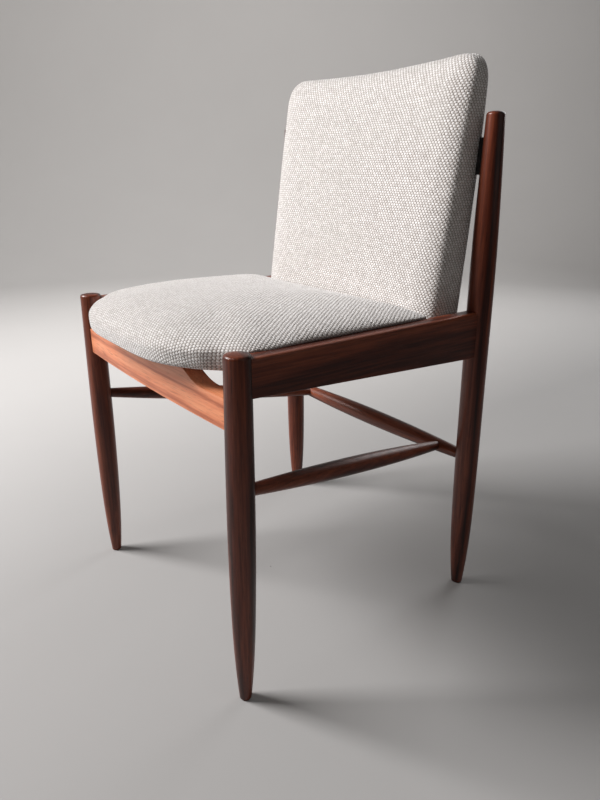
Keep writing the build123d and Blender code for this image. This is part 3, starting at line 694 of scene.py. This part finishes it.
def back_over(ring, round_it):
    """The back's front sheet, as points, and as places seen from in front.

    The roll at the rim is 1 - sqrt(1 - s^fullness) of its full depth, with s the share of the
    way to the outline.  It is softer at the top corners, and the face swells at its middle."""
    edge_place, normal = on_outline(back_outline, round_it)
    reach = edge_place - back_centre
    share = 1 - (1 - np.clip(ring / back_top_rings, 0, 1)) ** 1.7
    down = np.clip((ring - back_top_rings) / back_side_rings, 0, 1)
    straight = np.clip(down / straight_share, 0, 1)
    turn = np.clip((down - straight_share) / (1 - straight_share), 0, 1) * math.pi / 2
    inset = rear_roll * (1 - np.cos(turn))
    flat = back_centre + share[..., None] * reach
    place = flat - inset[..., None] * normal
    front = on_arc(place[..., 0], np.polyval(front_curve, place[..., 1]))
    rear = on_arc(place[..., 0], np.polyval(rear_curve, place[..., 1]))
    direction = reach / np.linalg.norm(reach, axis=-1, keepdims=True)
    cornered = np.clip(2 * direction[..., 1] * abs(direction[..., 0]), 0, 1) ** 3
    fullness = roll_fullness[0] + (roll_fullness[1] - roll_fullness[0]) * cornered
    rolled = front_roll * (1 - np.sqrt(1 - share ** fullness)) - pillow * (1 - share ** 2) ** 2
    side = (rear - rear_roll - front - front_roll) * straight + rear_roll * np.sin(turn)
    return np.stack([place[..., 0], front + rolled + side, place[..., 1]], axis=-1), flat


def back_under(place, lift=0.0):
    """The rear surface at places seen from in front, raised by a lift."""
    rear = on_arc(place[:, 0], np.polyval(rear_curve, place[:, 1]))
    return np.column_stack([place[:, 0], rear + lift, place[:, 1]])


back_ring, back_round, _ = square_sheet(back_rings)
back_points, _ = back_over(back_ring, back_round)
back_cloth = unrolled(back_over, back_ring, back_round, back_rings, back_outline)
rim_points, _ = back_over(np.full(back_round.shape, back_rings), back_round)
rear_places = back_centre + (back_ring / back_rings)[:, None] * (rim_points[:, [0, 2]]
                                                                 - back_centre)
back = closed_pad("back_cushion", back_rings, (back_points, back_cloth),
                  (back_under(rear_places), rear_places))
print("back:", len(back.data.vertices), "vertices")

# %% Fill the back
back_co = np.array([v.co for v in back.data.vertices]) / MM
rear_there = on_arc(back_co[:, 0], np.polyval(rear_curve, back_co[:, 2]))
stapled = back_co[:, 1] > rear_there - 12.0
pumped(back, stapled, travel=1.3)
back.data.materials.append(cover_cloth)
smoothed(back)
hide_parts("back_cover", "back_foam", "back_rear_pad")
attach(back, "root")

# %% [markdown]
# ## The rear panel
#
# Behind, the front cover is turned over the rim and stapled, and a separate panel of the same
# cloth is sewn over the staples.  It is a thin pad with a rolled edge, set in from the rim all
# round.

# %% Rear panel
panel_inset = 11.0
panel_swell = 2.2
panel_fullness = 40      # a high number keeps the panel flat almost to its edge
panel_lift = 0.2         # it lies this far off the back's rear surface,
panel_depth = -0.6       # and its hidden side this far below it
panel_rings = 44


def panel_sheet(ring, round_it, swell):
    """A sheet behind the back, its height above it being swell * sqrt(1 - s^fullness)."""
    edge_place, normal = on_outline(back_outline, round_it)
    edge_place = edge_place - panel_inset * normal
    share = 1 - (1 - ring / panel_rings) ** 1.8
    place = back_centre + share[:, None] * (edge_place - back_centre)
    rise = swell * np.sqrt(np.clip(1 - share ** panel_fullness, 0, 1))
    return back_under(place, rise + panel_lift), place


panel_ring, panel_round, _ = square_sheet(panel_rings)
panel_outer, panel_place = panel_sheet(panel_ring, panel_round, panel_swell)
panel_inner, _ = panel_sheet(panel_ring, panel_round, panel_depth)
panel = closed_pad("back_panel", panel_rings, (panel_inner, panel_place),
                   (panel_outer, panel_place))
panel.data.materials.append(cover_cloth)
smoothed(panel)
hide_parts("back_rear_panel")
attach(panel, "root")
print("panel:", len(panel.data.vertices), "vertices")

# %% [markdown]
# ## The floor
#
# The floor is a pale plain disc that curves up into a wall all round, like a studio
# cove, so no line shows where it ends.  It darkens on the side away from the window, so that
# the shaded faces of the chair stay deep.

# %% Cove
cove_radius = 3.2
cove_bend = 1.4
cove_height = 4.0
around = 96


def cove_profile():
    """Radius and height along the cove: flat, a quarter circle, and straight up."""
    bend = np.linspace(0, math.pi / 2, 25)
    radius = np.concatenate([[0.001, 1.0], cove_radius + cove_bend * np.sin(bend),
                             [cove_radius + cove_bend]])
    height = np.concatenate([[0.0, 0.0], cove_bend * (1 - np.cos(bend)), [cove_height]])
    return radius, height


radius, height = cove_profile()
angle = np.linspace(0, 2 * math.pi, around, endpoint=False)
cove_points = np.stack([radius[:, None] * np.cos(angle), radius[:, None] * np.sin(angle),
                        np.broadcast_to(height[:, None], (radius.size, around))], axis=-1)
number = np.arange(radius.size * around).reshape(radius.size, around)
beside = np.roll(number, -1, axis=1)
cove_faces = np.stack([number[:-1], number[1:], beside[1:], beside[:-1]], axis=-1).reshape(-1, 4)
cove = mesh_object("cove", cove_points.reshape(-1, 3) / MM, cove_faces)
cove_finish, cove_tree, cove_shader = new_material("pale_floor")
cove_place = node(cove_tree, "ShaderNodeTexCoord").outputs["Object"]
cove_noise = node(cove_tree, "ShaderNodeTexNoise", {"Vector": cove_place, "Scale": 3.0,
                                                    "Detail": 5.0}).outputs["Fac"]
cove_x = node(cove_tree, "ShaderNodeSeparateXYZ", {"Vector": cove_place}).outputs[0]
cove_side = ramp(cove_tree, maths(cove_tree, "MULTIPLY_ADD", cove_x, 0.2, 0.5),
                 [(0.62, (0.36, 0.352, 0.345)), (0.85, (0.07, 0.068, 0.066))])
cove_tree.links.new(mixed(cove_tree, maths(cove_tree, "MULTIPLY", cove_noise, 0.12), cove_side,
                          (0.5, 0.49, 0.48)), cove_shader.inputs["Base Color"])
cove_shader.inputs["Roughness"].default_value = 0.85
cove.data.materials.append(cove_finish)
